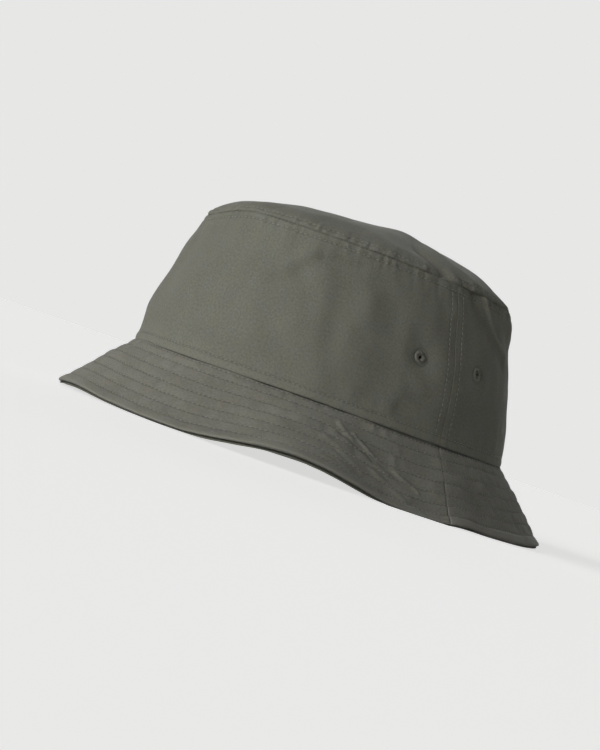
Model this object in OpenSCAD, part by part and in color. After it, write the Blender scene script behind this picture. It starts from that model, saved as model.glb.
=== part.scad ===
// Bucket hat in cotton twill: an oval tip, two crown panels, and a two-ply stitched brim.
// Millimetres, +Z up, and the front faces -Y.
// The origin is at the centre of the brim, on the surface that it rests on.

/* [Head] */
// Length of the head opening inside the sweatband, front to back
head_len = 204; // [194:1:214]
// Width of the head opening inside the sweatband
head_wid = 170; // [162:1:180]

/* [Crown] */
// Height of the tip seam above the head seam
crown_h = 76.5; // [66:0.5:90]
// How far the crown leans inwards between the two seams
crown_taper = 18; // [10:0.5:24]
// How far the tip sits forward of the head opening
tip_shift = 6; // [0:0.5:9]
// Rise of the tip's middle above its seam
tip_dome = 18; // [12:0.5:24]
// How far the tip seam sags at the front right
tip_sag = 6.5; // [0:0.5:8]
// Height of the turned hem at the foot of the crown
hem_h = 2.6; // [2:0.1:4]

/* [Brim] */
// Length of the brim from the head seam to its edge
brim_len = 47; // [38:1:58]
// Steepest angle of the brim below the horizontal
brim_slope = 48.5; // [42:0.5:56]
// Width of the turned band outside the last row of stitches
edge_band = 6.5; // [5:0.5:9]
// How far the edge of the brim turns up
brim_flare = 1; // [0:0.1:1.6]
// Depth of the seam allowance that stands up inside the crown
allowance = 8; // [6:0.5:10]

/* [Cloth] */
// Thickness of the twill
twill_t = 0.6; // [0.5:0.05:0.8]
// Thickness of the stiffener inside the brim
interlining_t = 0.5; // [0.4:0.05:0.8]
// Thickness of the tapes over the inside seams
tape_t = 0.4; // [0.3:0.05:0.6]
// Width of the tape over the tip seam
tape_w = 12.8; // [11:0.2:15]
// Width of the tapes over the side seams
side_tape_w = 15; // [13:0.5:18]
// Clearance between two layers of cloth that are sewn together
layer_gap = 0.1; // [0.08:0.01:0.14]

/* [Thread] */
// Diameter of the topstitching thread
thread_d = 0.4; // [0.3:0.05:0.5]
// Distance of the topstitching from the tip seam
tip_row = 3.2; // [2.8:0.1:4]
// Distance of the topstitching from the side seams
side_row = 4.7; // [4:0.1:6]

/* [Sweatband] */
// Height of the sweatband
band_h = 32; // [26:1:36]
// Thickness of the strip inside the sweatband
band_core_t = 0.6; // [0.5:0.05:1]

/* [Eyelets] */
// Outer diameter of an eyelet's sewn ring
eyelet_d = 7.4; // [6.6:0.1:8.4]
// Diameter of the hole through an eyelet
eyelet_hole = 2.6; // [2.2:0.1:3]
// Distance of each eyelet from the side seam
eyelet_from_seam = 20; // [16:0.5:24]
// Height of the eyelets above the head seam
eyelet_z = 37.5; // [34:0.5:42]

/* [Labels] */
// Width of the care label
care_w = 25; // [18:1:32]
// Length of the care label, from its sewn edge to its folded end
care_len = 34; // [24:1:36]
// Thickness of the folded care label
care_t = 0.5; // [0.4:0.05:0.8]
// Width of the size label on the sweatband
size_w = 32; // [24:1:40]
// Height of the size label on the sweatband
size_h = 16; // [12:1:20]
// Thickness of the size label
size_t = 0.3; // [0.2:0.05:0.5]

/* [Hidden] */

// Cloth colours
TWILL = "#6d6c60";
TWILL_DARK = "#5f5e53";
THREAD = "#7a796c";
WHITE_FELT = "#cfccc2";
LABEL = "#e4e1d8";

// Angles: 0 is the front, and they grow towards the wearer's left
STEP = 6;
LEFT = 90;
BACK = 180;
RIGHT = 270;
// Each soft wave of the brim: its angle, its lift in degrees of slope, and half its spread
BRIM_WAVES = [[48, 12, 27], [-25, 4, 27], [90, 2.5, 12], [140, 5, 30], [-138, 8, 30], [-90, 2.5, 12]];
// The sag of the tip seam: its angle and half its spread
SAG_WAVE = [-28, 1, 42];
// Each soft bulge of the crown: angle, height, depth, half its spread in degrees and in millimetres
CROWN_BULGES = [[-43, 20, 3.6, 46, 26], [-43, 62, 2, 50, 34], [46, 46, -1.6, 34, 30], [140, 36, -1.2, 45, 40],
    [-120, 34, 1.2, 36, 30]];
TAPER_POWER = 1.5;
BRIM_ROWS = 6;
// The first row of stitches lies this far down the brim, just clear of the crown's hem
FIRST_ROW = 1.9;
// Side seams meet with this gap
SEAM_GAP = 0.2;
// Height of the upper ply's lowest edge above the resting surface: the under ply is pressed flat below it
EDGE_LIFT = 0.15;
// The rolled corners of the brim's edge, along the brim
EDGE_ROLL = 0.9;
FOOT_ROLL = 0.3;
// Angles up the tip's rounded section, from its seam; the second is the row of topstitching
TIP_RINGS = [0, 13, 24, 36, 50, 66, 80];
// The tip's section is a squarish arc
TIP_ROUND = 0.84;
TIP_RISE = 1.3;
EYELET_BEAD = 1;
// The sweatband's stitches lie this far below its fold
BAND_ROW = 4;
// The care label's corners hang this far from the tape
LABEL_GAP = 0.4;

half_x = head_wid / 2;
half_y = head_len / 2;
mm_per_deg = half_y * PI / 180;
seam_turn = SEAM_GAP / 2 / mm_per_deg;

// Stack at the head seam, each measured outwards from the head
band_t = 2 * twill_t + 2 * layer_gap + band_core_t;
under_off = band_t + layer_gap;
upper_off = under_off + twill_t + layer_gap;
crown_off = upper_off + twill_t + layer_gap;

// Levels in the brim, each measured from the middle of the interlining
upper_lo = interlining_t / 2 + layer_gap;
upper_hi = upper_lo + twill_t;
band_lo = layer_gap / 2;
band_hi = band_lo + 2 * twill_t;
edge_s = 1 - edge_band / brim_len;
roll_s = 1 - EDGE_ROLL / brim_len;
foot_s = 1 - FOOT_ROLL / brim_len;
flare_s = 1 - 1.6 * edge_band / brim_len;

seam_z = layer_gap + EDGE_LIFT + brim_len * sin(brim_slope)
    - (band_lo - upper_hi + brim_flare) * cos(brim_slope);
row_pitch = brim_len * edge_s / BRIM_ROWS;
hem_row = hem_h + 1.4;

function unit(v) = v / norm(v);
function total(v) = v * [for (x = v) 1];
function turn_between(a, b) = abs((a - b + 900) % 360 - 180);
function bump(distance, half) = distance < half ? (1 + cos(180 * distance / half)) / 2 : 0;
function wave(th, w) = w[1] * bump(turn_between(th, w[0]), w[2]);
function mix(a, b, k) = a + (b - a) * k;

// A point beside the head's oval: off is outwards, and fwd is a shift to the front
function outward(th) = unit([half_y * sin(th), -half_x * cos(th)]);
function place(th, off, z, fwd = 0) =
    let (o = [half_x * sin(th), -half_y * cos(th)] + off * outward(th))
    [o[0], o[1] - fwd, z];

// Crown: zr is the height above the head seam, and depth is measured into the cloth
function top_z(th) = crown_h - tip_sag * wave(th, SAG_WAVE);
function bulge(th, zr) = total([for (b = CROWN_BULGES)
    b[2] * bump(turn_between(th, b[0]), b[3]) * bump(abs(zr - b[1]), b[4])]);
function lean(th, zr) = pow(max(zr, 0) / top_z(th), TAPER_POWER);
function crown_pt(th, zr, depth, hem = 0) =
    place(th, crown_off + twill_t - depth + hem - crown_taper * lean(th, zr) + bulge(th, zr),
        seam_z + zr, tip_shift * lean(th, zr));
function crown_rows(th) = concat([hem_h + 0.4, hem_row, allowance + 1],
    [for (k = [1:4]) mix(allowance + 1, top_z(th) - tape_w / 2, k / 4)], [top_z(th) - tip_row, top_z(th)]);
// Cloth inside the crown's foot follows its lean but not its outward bulges
function inner_pt(th, off, zr) =
    place(th, off - crown_taper * lean(th, zr) + min(0, bulge(th, zr)), seam_z + zr,
        tip_shift * lean(th, zr));

// Tip: psi climbs from its seam at 0 to its middle at 90
function tip_flat(th, psi) =
    let (edge = crown_pt(th, top_z(th), 0), ring = pow(cos(psi), TIP_ROUND), rise = pow(sin(psi), TIP_RISE))
    [edge[0] * ring, mix(-tip_shift, edge[1], ring),
        seam_z + layer_gap + mix(crown_h, top_z(th), ring * ring) + tip_dome * rise];
function tip_normal(th, psi) = psi == 0 ? [outward(th)[0], outward(th)[1], 0] :
    unit(cross(tip_flat(th + 1, psi) - tip_flat(th - 1, psi), tip_flat(th, psi + 1) - tip_flat(th, psi - 1)));
function tip_pt(th, psi, depth) = tip_flat(th, psi) - depth * tip_normal(th, psi);
function tip_middle(depth) = [0, -tip_shift, seam_z + layer_gap + crown_h + tip_dome - depth];

// Brim: s runs from the head seam at 0 to the edge at 1, and h is the level in the cloth
function slope(th) = brim_slope - total([for (w = BRIM_WAVES) wave(th, w)]);
function flare(s) = brim_flare * pow(max(0, (s - flare_s) / (1 - flare_s)), 2);
function brim_pt(th, s, h) =
    let (a = slope(th), along = s * brim_len, over = h - upper_hi + flare(s))
    place(th, upper_off + twill_t + along * cos(a) + over * sin(a),
        seam_z - layer_gap - along * sin(a) + over * cos(a));
// Where the level h meets the wall of the standing allowance at off
function turn_s(th, off, h) =
    (off - upper_off - twill_t - (h - upper_hi) * sin(slope(th))) / (brim_len * cos(slope(th)));
function row_s(k) = (k == 0 ? FIRST_ROW : k * row_pitch) / brim_len;
// The sloping cloth inside the turned band has a line at each row of stitches, from the edge inwards
slope_rows = [for (k = [BRIM_ROWS:-1:0]) row_s(k)];

// Azimuths of each half and of the whole ring
front_half = concat([-LEFT + seam_turn], [for (a = [-LEFT + STEP:STEP:LEFT - STEP]) a], [LEFT - seam_turn]);
back_half = [for (a = front_half) a + BACK];
whole_ring = [for (a = [0:STEP:359]) a];

// A wall between two grids of points, whose rows climb: outside is on the left of a row seen from above
function quad(a, b, c, d) = [[a, b, c], [a, c, d]];
module wall(outside, inside, closed = false) {
    n = len(outside);
    m = len(outside[0]);
    points = concat([for (c = outside) for (p = c) p], [for (c = inside) for (p = c) p]);
    spans = closed ? n : n - 1;
    function o(i, j) = (i % n) * m + j;
    function q(i, j) = n * m + (i % n) * m + j;
    faces = concat(
        [for (i = [0:spans - 1]) for (j = [0:m - 2])
            each quad(o(i, j), o(i, j + 1), o(i + 1, j + 1), o(i + 1, j))],
        [for (i = [0:spans - 1]) for (j = [0:m - 2])
            each quad(q(i, j), q(i + 1, j), q(i + 1, j + 1), q(i, j + 1))],
        [for (i = [0:spans - 1]) each quad(o(i, 0), o(i + 1, 0), q(i + 1, 0), q(i, 0))],
        [for (i = [0:spans - 1]) each quad(o(i, m - 1), q(i, m - 1), q(i + 1, m - 1), o(i + 1, m - 1))],
        closed ? [] : [for (j = [0:m - 2]) each quad(o(0, j), q(0, j), q(0, j + 1), o(0, j + 1))],
        closed ? [] : [for (j = [0:m - 2])
            each quad(o(n - 1, j), o(n - 1, j + 1), q(n - 1, j + 1), q(n - 1, j))]);
    polyhedron(points = points, faces = faces, convexity = 8);
}

// Points on the flat facets of the crown, for what is fixed to it
function on_facet(th, zr, depth) =
    let (a = floor(th / STEP) * STEP, k = (th - a) / STEP)
    mix(crown_pt(a, zr, depth), crown_pt(a + STEP, zr, depth), k);

module tip_panel() {
    rings = [for (depth = [0, twill_t]) [for (a = whole_ring) [for (psi = TIP_RINGS) tip_pt(a, psi, depth)]]];
    n = len(whole_ring);
    m = len(TIP_RINGS);
    points = concat([for (g = rings) for (c = g) for (p = c) p], [tip_middle(0), tip_middle(twill_t)]);
    function o(i, j) = (i % n) * m + j;
    function q(i, j) = n * m + (i % n) * m + j;
    faces = [for (i = [0:n - 1]) each concat(
        [for (j = [0:m - 2]) each quad(o(i, j), o(i, j + 1), o(i + 1, j + 1), o(i + 1, j))],
        [for (j = [0:m - 2]) each quad(q(i, j), q(i + 1, j), q(i + 1, j + 1), q(i, j + 1))],
        quad(o(i, 0), o(i + 1, 0), q(i + 1, 0), q(i, 0)),
        [[o(i, m - 1), 2 * n * m, o(i + 1, m - 1)], [q(i, m - 1), q(i + 1, m - 1), 2 * n * m + 1]])];
    color(TWILL) polyhedron(points = points, faces = faces, convexity = 6);
}

module crown_half(angles) {
    hem = [0, hem_h];
    color(TWILL) wall(
        [for (a = angles) concat(
            [for (z = hem) crown_pt(a, z, 0, twill_t)],
            [for (z = crown_rows(a)) crown_pt(a, z, 0)])],
        [for (a = angles) [for (z = concat(hem, crown_rows(a))) crown_pt(a, z, twill_t)]]);
}

// A crown panel with the holes for its eyelets
module crown_panel(angles, eyelets) {
    difference() {
        crown_half(angles);
        for (e = eyelets) eyelet_place(e[0], e[1])
            translate([0, 0, -5]) cylinder(r = eyelet_barrel_r + 2 * layer_gap, h = 10, $fn = 48);
    }
}

module crown_front() { crown_panel(front_half, [[LEFT, -1], [RIGHT, 1]]); }
module crown_back() { crown_panel(back_half, [[LEFT, 1], [RIGHT, -1]]); }

function upper_level(s) = s > edge_s ? [band_lo, band_hi] : [upper_lo, upper_hi];

module brim_upper(angles) {
    color(TWILL) wall(
        [for (a = angles) concat(
            [brim_pt(a, 1, mix(band_lo, band_hi, 0.55))],
            [for (s = [roll_s, edge_s + 0.03]) brim_pt(a, s, band_hi)],
            [for (s = slope_rows) brim_pt(a, s, upper_hi)],
            [brim_pt(a, 0, upper_hi), inner_pt(a, upper_off + twill_t, allowance)])],
        [for (a = angles) concat(
            [for (s = [1, roll_s, edge_s + 0.03]) brim_pt(a, s, band_lo)],
            [for (s = slope_rows) brim_pt(a, s, upper_lo)],
            [brim_pt(a, turn_s(a, upper_off, upper_lo), upper_lo), inner_pt(a, upper_off, allowance)])]);
}
module brim_upper_front() { brim_upper(front_half); }
module brim_upper_back() { brim_upper(back_half); }

module brim_interlining(angles) {
    color(WHITE_FELT) wall(
        [for (a = angles) [for (s = slope_rows) brim_pt(a, s, interlining_t / 2)]],
        [for (a = angles) [for (s = slope_rows) brim_pt(a, s, -interlining_t / 2)]]);
}
module brim_interlining_front() { brim_interlining(front_half); }
module brim_interlining_back() { brim_interlining(back_half); }

// The foot of the brim is pressed flat where it meets the surface it rests on
function pressed(p) = [p[0], p[1], max(p[2], 0)];
function foot_tip(th) =
    let (inner = brim_pt(th, foot_s, -band_hi), outer = brim_pt(th, 1, -mix(band_lo, band_hi, 0.7)))
    pressed([outer[0], outer[1], inner[2]]);

module brim_under(angles) {
    band_rows = [roll_s, edge_s + 0.03];
    color(TWILL_DARK) wall(
        [for (a = angles) concat(
            [for (s = concat([1, foot_s], band_rows)) brim_pt(a, s, -band_lo)],
            [for (s = slope_rows) brim_pt(a, s, -upper_lo)],
            [brim_pt(a, turn_s(a, under_off + twill_t, -upper_lo), -upper_lo)],
            [inner_pt(a, under_off + twill_t, allowance)])],
        [for (a = angles) concat(
            [foot_tip(a), pressed(brim_pt(a, foot_s, -band_hi))],
            [for (s = band_rows) pressed(brim_pt(a, s, -band_hi))],
            [for (s = slope_rows) brim_pt(a, s, -upper_hi)],
            [brim_pt(a, turn_s(a, under_off, -upper_hi), -upper_hi), inner_pt(a, under_off, allowance)])]);
}
module brim_under_front() { brim_under(front_half); }
module brim_under_back() { brim_under(back_half); }

// The sweatband is a strip folded over a core: the fold is at the top, and the edge is sewn at the head seam
band_rows = [allowance, mix(allowance, band_h, 0.5)];
function band_line(th, off, rows) = [for (z = rows) inner_pt(th, off, z)];
function down(list) = [for (k = [len(list) - 1:-1:0]) list[k]];

module sweatband_cover() {
    fold = band_h - 1.4 * twill_t;
    outer = concat([-twill_t], band_rows, [band_h - twill_t]);
    inner = concat([-twill_t], band_rows, [fold]);
    color(TWILL_DARK) wall(
        [for (a = whole_ring) concat(
            band_line(a, band_t, outer),
            [for (off = [band_t - twill_t, twill_t]) inner_pt(a, off, band_h)],
            band_line(a, 0, down(outer)))],
        [for (a = whole_ring)
            let (far = band_line(a, band_t - twill_t, inner), near = band_line(a, twill_t, inner))
            concat(far, [far[len(far) - 1], near[len(near) - 1]], down(near))], closed = true);
}

module sweatband_core() {
    far = band_t - twill_t - layer_gap;
    near = twill_t + layer_gap;
    rows = concat([0], band_rows, [band_h - 1.4 * twill_t - layer_gap]);
    color(WHITE_FELT) wall(
        [for (a = whole_ring) band_line(a, far, rows)],
        [for (a = whole_ring) band_line(a, near, rows)], closed = true);
}

// Points down the inside of the tip seam, from the lower edge of its tape upwards
function tape_line(th, depth) = concat(
    [for (z = [top_z(th) - tape_w / 2, top_z(th) - tip_row]) crown_pt(th, z, depth)],
    [for (k = [0:2]) tip_pt(th, TIP_RINGS[k], depth)]);

module tip_seam_tape() {
    near = twill_t + layer_gap;
    color(TWILL_DARK) wall(
        [for (a = whole_ring) tape_line(a, near)],
        [for (a = whole_ring) tape_line(a, near + tape_t)], closed = true);
}

// A side seam's tape runs from the head seam's allowance up to the tip seam's tape
module side_seam_tape(side) {
    near = twill_t + 2.5 * layer_gap;
    turn = side_tape_w / 2 / mm_per_deg;
    function rows(th) = [for (k = [0:4]) mix(allowance + 1, top_z(th) - tape_w / 2 - 0.5, k / 4)];
    color(TWILL_DARK) wall(
        [for (a = [side - turn, side, side + turn]) [for (z = rows(a)) on_facet(a, z, near)]],
        [for (a = [side - turn, side, side + turn]) [for (z = rows(a)) on_facet(a, z, near + tape_t)]]);
}
module side_seam_tape_left() { side_seam_tape(LEFT); }
module side_seam_tape_right() { side_seam_tape(RIGHT); }

// Eyelets: a sewn ring through the cloth, with a bead outside and a thinner one inside
eyelet_barrel_r = eyelet_hole / 2 + 0.7;
function eyelet_turn(side, way) = side + way * eyelet_from_seam / mm_per_deg;
module eyelet_place(side, way) {
    a = eyelet_turn(side, way);
    p = on_facet(a, eyelet_z, 0);
    up = unit(on_facet(a, eyelet_z + 4, 0) - on_facet(a, eyelet_z - 4, 0));
    along = unit(crown_pt(a + 2, eyelet_z, 0) - crown_pt(a - 2, eyelet_z, 0));
    out = unit(cross(along, up));
    translate(p) rotate([0, acos(out[2]), atan2(out[1], out[0])]) children();
}
module eyelet(side, way) {
    bead = EYELET_BEAD / 2;
    bead_r = eyelet_d / 2 - bead;
    lift = 1.5 * layer_gap;
    back = twill_t + 3.5 * layer_gap;
    ring_w = bead_r - eyelet_hole / 2;
    color(THREAD) eyelet_place(side, way) rotate_extrude($fn = 48) union() {
        translate([bead_r, lift + bead]) circle(r = bead, $fn = 32);
        translate([eyelet_hole / 2, lift]) square([ring_w, EYELET_BEAD]);
        translate([eyelet_hole / 2, -back - bead])
            square([eyelet_barrel_r - eyelet_hole / 2, back + bead + lift + bead]);
        translate([eyelet_hole / 2, -back - bead]) square([ring_w - bead, bead]);
    }
}
module eyelet_left_front() { eyelet(LEFT, -1); }
module eyelet_left_back() { eyelet(LEFT, 1); }
module eyelet_right_front() { eyelet(RIGHT, 1); }
module eyelet_right_back() { eyelet(RIGHT, -1); }

// A thread is a square strand that lies on the cloth: low and high are its two corners beside the cloth
module thread_ring(angles, line, closed = true) {
    color(THREAD) wall(
        [for (a = angles) [for (side = [-0.5, 0.5]) line(a, side * thread_d, thread_d + layer_gap)]],
        [for (a = angles) [for (side = [-0.5, 0.5]) line(a, side * thread_d, layer_gap)]], closed);
}

module tip_stitch_upper() {
    thread_ring(whole_ring, function (a, across, up)
        tip_pt(a, TIP_RINGS[1] * (1 + across / tip_row), -up));
}

module tip_stitch_lower() {
    thread_ring(whole_ring, function (a, across, up) crown_pt(a, top_z(a) - tip_row + across, -up));
}

module head_seam_stitch() {
    thread_ring(whole_ring, function (a, across, up) crown_pt(a, hem_row + across, -up));
}

module brim_stitch(k) {
    thread_ring(whole_ring, function (a, across, up)
        brim_pt(a, row_s(k) - across / brim_len, upper_hi + up));
}
module brim_stitch_0() { brim_stitch(0); }
module brim_stitch_1() { brim_stitch(1); }
module brim_stitch_2() { brim_stitch(2); }
module brim_stitch_3() { brim_stitch(3); }
module brim_stitch_4() { brim_stitch(4); }
module brim_stitch_5() { brim_stitch(5); }
module brim_stitch_6() { brim_stitch(6); }

// The sweatband's own row of stitches, inside its top fold
module sweatband_stitch() {
    rows = [for (side = [-0.5, 0.5]) band_h - BAND_ROW + side * thread_d];
    color(THREAD) wall(
        [for (a = whole_ring) band_line(a, -1.5 * layer_gap, rows)],
        [for (a = whole_ring) band_line(a, -1.5 * layer_gap - thread_d, rows)], closed = true);
}

// Two rows run up each side seam, one in each panel
module side_stitch(side) {
    turn = side_row / mm_per_deg;
    lift = 2 * layer_gap;
    half = thread_d / 2 / mm_per_deg;
    ends = 2 * thread_d;
    function rows(a) = [for (k = [0:6]) mix(hem_row + ends, top_z(a) - tip_row - ends, k / 6)];
    color(THREAD) for (way = [-1, 1]) let (mid = side + way * turn)
        wall(
            [for (a = [mid - half, mid + half]) [for (z = rows(a)) on_facet(a, z, -lift - thread_d)]],
            [for (a = [mid - half, mid + half]) [for (z = rows(a)) on_facet(a, z, -lift)]]);
}
module side_stitch_left() { side_stitch(LEFT); }
module side_stitch_right() { side_stitch(RIGHT); }

// A woven tab sewn flat on the sweatband at the back, left blank
module size_label() {
    turn = size_w / 2 / (half_x * PI / 180);
    z0 = band_h / 2 - size_h / 2;
    rows = [z0, z0 + size_h / 3, z0 + 2 * size_h / 3, z0 + size_h];
    angles = concat([BACK - turn], [for (a = [BACK - STEP, BACK, BACK + STEP]) a], [BACK + turn]);
    function facet(a, off, z) = let (low = floor(a / STEP) * STEP)
        mix(inner_pt(low, off, z), inner_pt(low + STEP, off, z), (a - low) / STEP);
    color(LABEL) wall(
        [for (a = angles) [for (z = rows) facet(a, -2 * layer_gap, z)]],
        [for (a = angles) [for (z = rows) facet(a, -2 * layer_gap - size_t, z)]]);
}

// The folded care label hangs at the back from the tip seam's tape, and turns about its sewn edge
care_turn = asin(care_w / 2 / (half_x - crown_taper));
care_edge = crown_pt(BACK + care_turn, top_z(BACK) - tape_w / 2, twill_t + layer_gap + tape_t);
care_pin = [0, care_edge[1] - LABEL_GAP - care_t / 2, care_edge[2]];
module care_label() {
    color(LABEL) translate(care_pin) {
        translate([-care_w / 2, -care_t / 2, -care_len]) cube([care_w, care_t, care_len]);
        for (z = [0, -care_len])
            translate([-care_w / 2, 0, z]) rotate([0, 90, 0]) cylinder(d = care_t, h = care_w, $fn = 24);
    }
}

tip_panel();
crown_front();
crown_back();
brim_upper_front();
brim_upper_back();
brim_interlining_front();
brim_interlining_back();
brim_under_front();
brim_under_back();
sweatband_cover();
sweatband_core();
tip_seam_tape();
side_seam_tape_left();
side_seam_tape_right();
eyelet_left_front();
eyelet_left_back();
eyelet_right_front();
eyelet_right_back();
tip_stitch_upper();
tip_stitch_lower();
side_stitch_left();
side_stitch_right();
head_seam_stitch();
brim_stitch_0();
brim_stitch_1();
brim_stitch_2();
brim_stitch_3();
brim_stitch_4();
brim_stitch_5();
brim_stitch_6();
sweatband_stitch();
size_label();
care_label();
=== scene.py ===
import math

import bmesh
import bpy
import numpy as np
from mathutils import Matrix, Vector


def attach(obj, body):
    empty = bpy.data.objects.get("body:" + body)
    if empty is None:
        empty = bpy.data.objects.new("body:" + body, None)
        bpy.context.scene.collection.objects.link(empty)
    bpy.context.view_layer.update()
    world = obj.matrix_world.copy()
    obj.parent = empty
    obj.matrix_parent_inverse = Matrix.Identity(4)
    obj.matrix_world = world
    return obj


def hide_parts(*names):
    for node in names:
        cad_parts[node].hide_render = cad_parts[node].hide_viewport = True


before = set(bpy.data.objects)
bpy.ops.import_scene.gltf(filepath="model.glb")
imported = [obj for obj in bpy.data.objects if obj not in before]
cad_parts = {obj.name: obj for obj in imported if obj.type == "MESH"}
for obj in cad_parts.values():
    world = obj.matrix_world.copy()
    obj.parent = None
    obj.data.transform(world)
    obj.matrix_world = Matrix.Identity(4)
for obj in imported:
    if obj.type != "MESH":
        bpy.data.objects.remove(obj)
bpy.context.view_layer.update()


# --- Studio -------------------------------------------------------------------------------------
# A pale floor under the hat, a broad soft lamp in front, weaker ones behind, and an even pale room.
# The camera looks level at the head seam from the front left, and is rolled as the photograph's is.
SEAM_Z = 35.385
CAMERA_AWAY = 1100
CAMERA_AZIMUTH = math.radians(47.34)
CAMERA_ROLL = math.radians(19.53)
CAMERA_BELOW_SEAM = 3.5
LENS = 101.7
AIM_LEFT = 10.4
AIM_UP = 17.5
# Each soft lamp: azimuth (0 in front of the hat, 90 on the wearer's left), elevation, strength, breadth
LAMPS = {
    "key_lamp": (0, 8, 2.95, 45),
    "rim_lamp": (165, 4, 0.05, 15),
    "back_lamp": (-135, 6, 1.0, 40),
}
ROOM_LOW = 0.98
ROOM_HIGH = 0.0
ROOM_FADE = 0.3
PALE = 0.8
PALE_WHITE = (1, 1, 0.99, 1)
FLOOR_RADIUS = 30
FLOOR_PAPER = (0.62, 0.62, 0.615, 1)
FLOOR_GLOW = 0.67
MM = 0.001

ahead = Vector((-math.sin(CAMERA_AZIMUTH), math.cos(CAMERA_AZIMUTH), 0))
level_right = Vector((math.cos(CAMERA_AZIMUTH), math.sin(CAMERA_AZIMUTH), 0))
right = math.cos(CAMERA_ROLL) * level_right + math.sin(CAMERA_ROLL) * Vector((0, 0, 1))
up = math.cos(CAMERA_ROLL) * Vector((0, 0, 1)) - math.sin(CAMERA_ROLL) * level_right
eye = Vector((0, 0, SEAM_Z - CAMERA_BELOW_SEAM)) - CAMERA_AWAY * ahead
aim = Vector((0, 0, SEAM_Z - CAMERA_BELOW_SEAM)) - AIM_LEFT * right + AIM_UP * up
back = (eye - aim).normalized()
side = up.cross(back).normalized()
camera = bpy.data.objects.new("camera", bpy.data.cameras.new("camera"))
camera.data.lens = LENS
camera.data.clip_start = 0.05
turned = Matrix((side, back.cross(side), back)).transposed().to_4x4()
camera.matrix_world = Matrix.Translation(eye * MM) @ turned
bpy.context.collection.objects.link(camera)
bpy.context.scene.camera = camera
bpy.context.scene.view_settings.view_transform = "Standard"

for name, (azimuth, elevation, strength, breadth) in LAMPS.items():
    lamp = bpy.data.objects.new(name, bpy.data.lights.new(name, "SUN"))
    lamp.data.energy = strength
    lamp.data.angle = math.radians(breadth)
    round_it, over_it = math.radians(azimuth), math.radians(elevation)
    level = math.cos(over_it)
    towards = Vector((math.sin(round_it) * level, -math.cos(round_it) * level, math.sin(over_it)))
    lamp.rotation_euler = towards.to_track_quat("Z", "Y").to_euler()
    bpy.context.collection.objects.link(lamp)


def add(tree, kind, settings=None, **sockets):
    """Adds a node; a socket is given a value, or another node's output to link."""
    made = tree.nodes.new(kind)
    for key, value in (settings or {}).items():
        setattr(made, key, value)
    for key, value in sockets.items():
        numbered = key[0] == "i" and key[1:].isdigit()
        socket = made.inputs[int(key[1:]) if numbered else key.replace("_", " ")]
        if isinstance(value, bpy.types.NodeSocket):
            tree.links.new(value, socket)
        else:
            socket.default_value = value
    return made


def pale_seen_by_camera(tree):
    """1 for the rays that show the room itself: straight, in a gloss, or through glass."""
    path = add(tree, "ShaderNodeLightPath")
    either = add(tree, "ShaderNodeMath", {"operation": "MAXIMUM"},
                 i0=path.outputs["Is Camera Ray"], i1=path.outputs["Is Glossy Ray"])
    return add(tree, "ShaderNodeMath", {"operation": "MAXIMUM"},
               i0=either.outputs[0], i1=path.outputs["Is Transmission Ray"]).outputs[0]


def bare_material(name):
    """A material with no nodes yet, and its tree."""
    material = bpy.data.materials.new(name)
    material.use_nodes = True
    material.node_tree.nodes.clear()
    return material, material.node_tree


def piece_from(bm, name):
    """The object that a finished bmesh makes."""
    mesh = bpy.data.meshes.new(name)
    bm.to_mesh(mesh)
    bm.free()
    piece = bpy.data.objects.new(name, mesh)
    bpy.context.collection.objects.link(piece)
    return piece


room = bpy.data.worlds.new("room")
bpy.context.scene.world = room
room.use_nodes = True
walls = room.node_tree
walls.nodes.clear()
direction = add(walls, "ShaderNodeTexCoord").outputs["Generated"]
height = add(walls, "ShaderNodeSeparateXYZ", Vector=direction).outputs["Z"]
fade = add(walls, "ShaderNodeMapRange", Value=height, i1=0.0, i2=ROOM_FADE, i3=ROOM_LOW, i4=ROOM_HIGH)
lit = add(walls, "ShaderNodeBackground", Color=(1, 1, 1, 1), Strength=fade.outputs[0])
shown = add(walls, "ShaderNodeBackground", Color=PALE_WHITE, Strength=PALE)
both = add(walls, "ShaderNodeMixShader",
           i0=pale_seen_by_camera(walls), i1=lit.outputs[0], i2=shown.outputs[0])
add(walls, "ShaderNodeOutputWorld", Surface=both.outputs[0])

bm = bmesh.new()
bmesh.ops.create_circle(bm, cap_ends=True, segments=96, radius=FLOOR_RADIUS)
floor = piece_from(bm, "floor")
backdrop_paper, paper = bare_material("matte_backdrop_paper")
matte = add(paper, "ShaderNodeBsdfDiffuse", Color=FLOOR_PAPER)
glow = add(paper, "ShaderNodeEmission", Color=PALE_WHITE, Strength=FLOOR_GLOW)
none = add(paper, "ShaderNodeEmission", Strength=0.0)
extra = add(paper, "ShaderNodeMixShader",
            i0=pale_seen_by_camera(paper), i1=none.outputs[0], i2=glow.outputs[0])
total = add(paper, "ShaderNodeAddShader", i0=matte.outputs[0], i1=extra.outputs[0])
add(paper, "ShaderNodeOutputMaterial", Surface=total.outputs[0])
floor.data.materials.append(backdrop_paper)


# --- Crown panels -------------------------------------------------------------------------------
# Two shaped pieces of cotton twill, joined at side seams that are pressed open over a tape.
# The foot is turned under and topstitched, so it stands over the brim as a small soft ridge.
HEAD_LEN = 204
HEAD_WID = 170
CROWN_H = 76.5
CROWN_TAPER = 18
TAPER_POWER = 1.5
TIP_SHIFT = 6
# Where the tip seam sags: azimuth, millimetres, half spread
TIP_SAG = [(-28, 6.5, 42)]
# Swells and hollows of the worn crown: azimuth, height, rise, half spread round it and up it
CROWN_BULGES = [
    (-43, 20, 3.6, 46, 26), (-43, 62, 2, 50, 34), (46, 46, -1.6, 34, 30),
    (140, 36, -1.2, 45, 40), (-120, 34, 1.2, 36, 30),
]
TWILL_T = 0.6
LAYER_GAP = 0.1
CROWN_OFF = 3.5
HEM_ROW = 3.5
TIP_ROW = 3.2
SIDE_ROW = 4.7
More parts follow.
